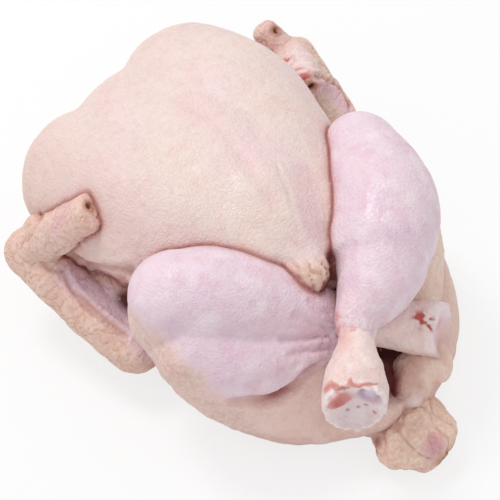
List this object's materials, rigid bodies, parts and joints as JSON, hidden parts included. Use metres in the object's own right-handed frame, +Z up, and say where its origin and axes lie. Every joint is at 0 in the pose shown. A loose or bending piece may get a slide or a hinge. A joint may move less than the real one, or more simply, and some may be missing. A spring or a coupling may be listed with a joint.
{
  "type": "whole raw chicken",
  "caption": "Whole plucked raw chicken lying on its back, with a broad smooth breast, crossed drumsticks over the open body cavity, folded wings and a blunt tail.",
  "frame": {"origin": "middle of the bounding box, at the height of the flat underside that the bird rests on", "axes": "+Y from the tail to the neck end, +Z up from the back to the breast, +X to the bird's right side"},
  "size_m": [0.1866, 0.2344, 0.105],
  "materials": {
    "skin": "moist raw skin, satin"
  },
  "bodies": {
    "root": {"chicken": "skin"}
  },
  "joints": []
}
